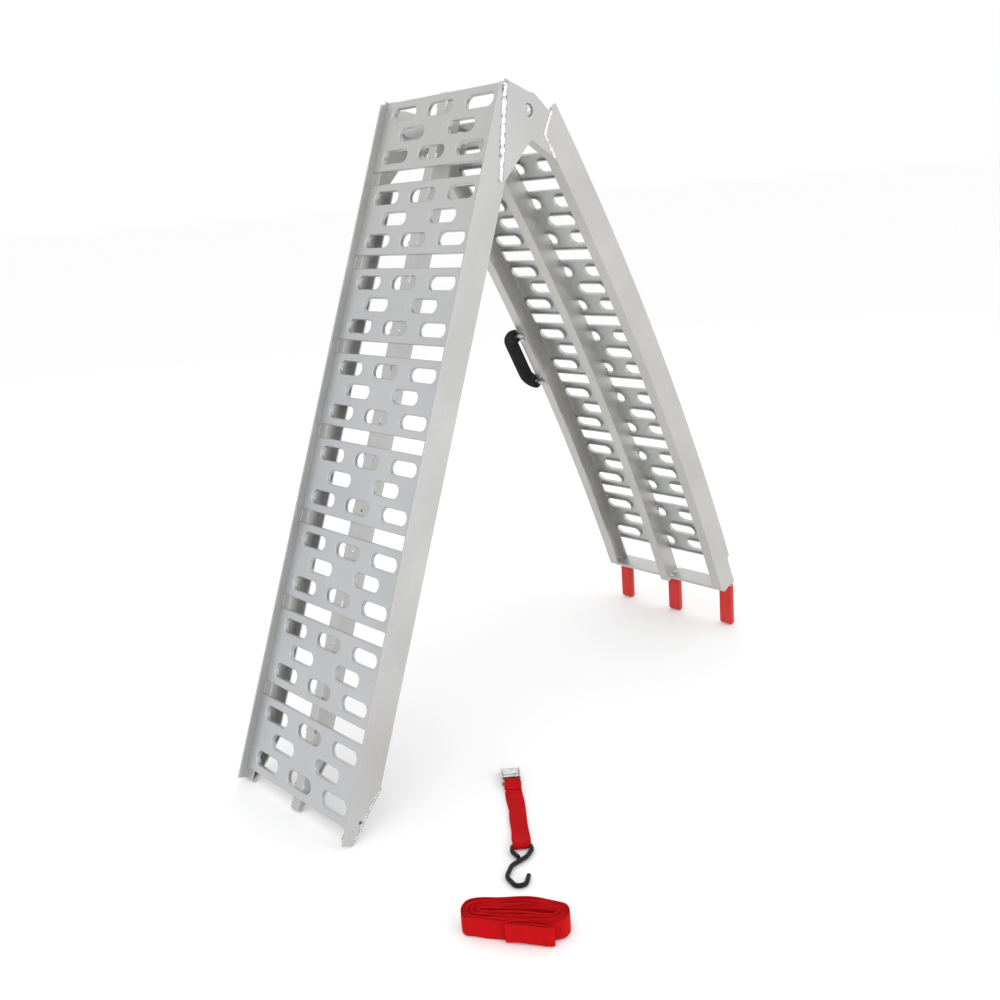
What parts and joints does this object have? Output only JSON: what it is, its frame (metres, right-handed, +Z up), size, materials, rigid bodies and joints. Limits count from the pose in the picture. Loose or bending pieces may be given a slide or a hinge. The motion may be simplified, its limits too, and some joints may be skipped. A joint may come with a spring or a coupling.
{
  "type": "folding loading ramp",
  "caption": "Folding aluminium loading ramp standing as an A-frame: slotted treads, welded hinge plates, red hooking fingers, foam carrying handle, cam buckle strap and spare red webbing.",
  "frame": {"origin": "Centre of the ramp's bounding box, on the ground it stands on (the loose strap and webbing are left out of it)", "axes": "+Z up, +X from the ground half's foot towards the fingers, +Y along the hinge pins, away from the viewer"},
  "size_m": [1.0219, 0.6834, 1.0702],
  "materials": {
    "rail_aluminium": "satin mill finish extrusion",
    "tread_aluminium": "satin pressed sheet",
    "weld_aluminium": "bright rippled weld bead",
    "zinc_steel": "zinc plated",
    "red_dip": "dipped soft vinyl",
    "black_foam": "matte foam",
    "buckle_steel": "bright plated",
    "red_webbing": "woven polyester webbing",
    "black_coating": "vinyl coated steel wire"
  },
  "bodies": {
    "ground_half": {"ground_rail_near": "rail_aluminium", "ground_rail_far": "rail_aluminium", "ground_stringer": "rail_aluminium", "ground_tread_1": "tread_aluminium", "ground_tread_2": "tread_aluminium", "ground_tread_3": "tread_aluminium", "ground_tread_4": "tread_aluminium", "ground_tread_5": "tread_aluminium", "ground_tread_6": "tread_aluminium", "ground_tread_7": "tread_aluminium", "ground_tread_8": "tread_aluminium", "foot_plate_near": "rail_aluminium", "foot_plate_far": "rail_aluminium", "foot_plate_middle": "rail_aluminium", "ground_hinge_plate_near": "rail_aluminium", "ground_hinge_plate_far": "rail_aluminium", "ground_hinge_welds": "weld_aluminium", "hinge_pin_near": "zinc_steel", "hinge_pin_far": "zinc_steel"},
    "upper_half": {"upper_rail_near": "rail_aluminium", "upper_rail_far": "rail_aluminium", "upper_stringer": "rail_aluminium", "upper_tread_1": "tread_aluminium", "upper_tread_2": "tread_aluminium", "upper_tread_3": "tread_aluminium", "upper_tread_4": "tread_aluminium", "upper_tread_5": "tread_aluminium", "upper_tread_6": "tread_aluminium", "upper_tread_7": "tread_aluminium", "upper_hinge_plate_near": "rail_aluminium", "upper_hinge_plate_far": "rail_aluminium", "upper_hinge_welds": "weld_aluminium", "end_bar_near": "rail_aluminium", "end_bar_far": "rail_aluminium", "finger_near": "zinc_steel", "finger_dip_near": "red_dip", "finger_middle": "zinc_steel", "finger_dip_middle": "red_dip", "finger_far": "zinc_steel", "finger_dip_far": "red_dip", "handle_base": "rail_aluminium", "handle_bar": "zinc_steel", "handle_grip": "black_foam", "handle_screw_1": "zinc_steel", "handle_screw_2": "zinc_steel"},
    "strap": {"buckle_frame": "buckle_steel", "strap_webbing": "red_webbing", "s_hook": "black_coating"},
    "buckle_lever": {"buckle_lever": "buckle_steel"},
    "spare_webbing": {"spare_webbing": "red_webbing"}
  },
  "joints": [
    {"name": "ramp_hinge", "type": "hinge", "parent": "ground_half", "child": "upper_half", "pos_m": [-0.02953, -0.01575, 1.02387], "axis": [0, 1, 0], "range_deg": [-124.5, 49]},
    {"name": "strap_lift", "type": "slide", "parent": "ground_half", "child": "strap", "axis": [0, 0, 1], "range_m": [0, 0.2]},
    {"name": "buckle_cam", "type": "hinge", "parent": "strap", "child": "buckle_lever", "pos_m": [-0.21605, -0.21252, 0.0066], "axis": [0.7507, -0.6607, 0], "range_deg": [0, 75]},
    {"name": "spare_webbing_lift", "type": "slide", "parent": "ground_half", "child": "spare_webbing", "axis": [0, 0, 1], "range_m": [0, 0.2]}
  ]
}
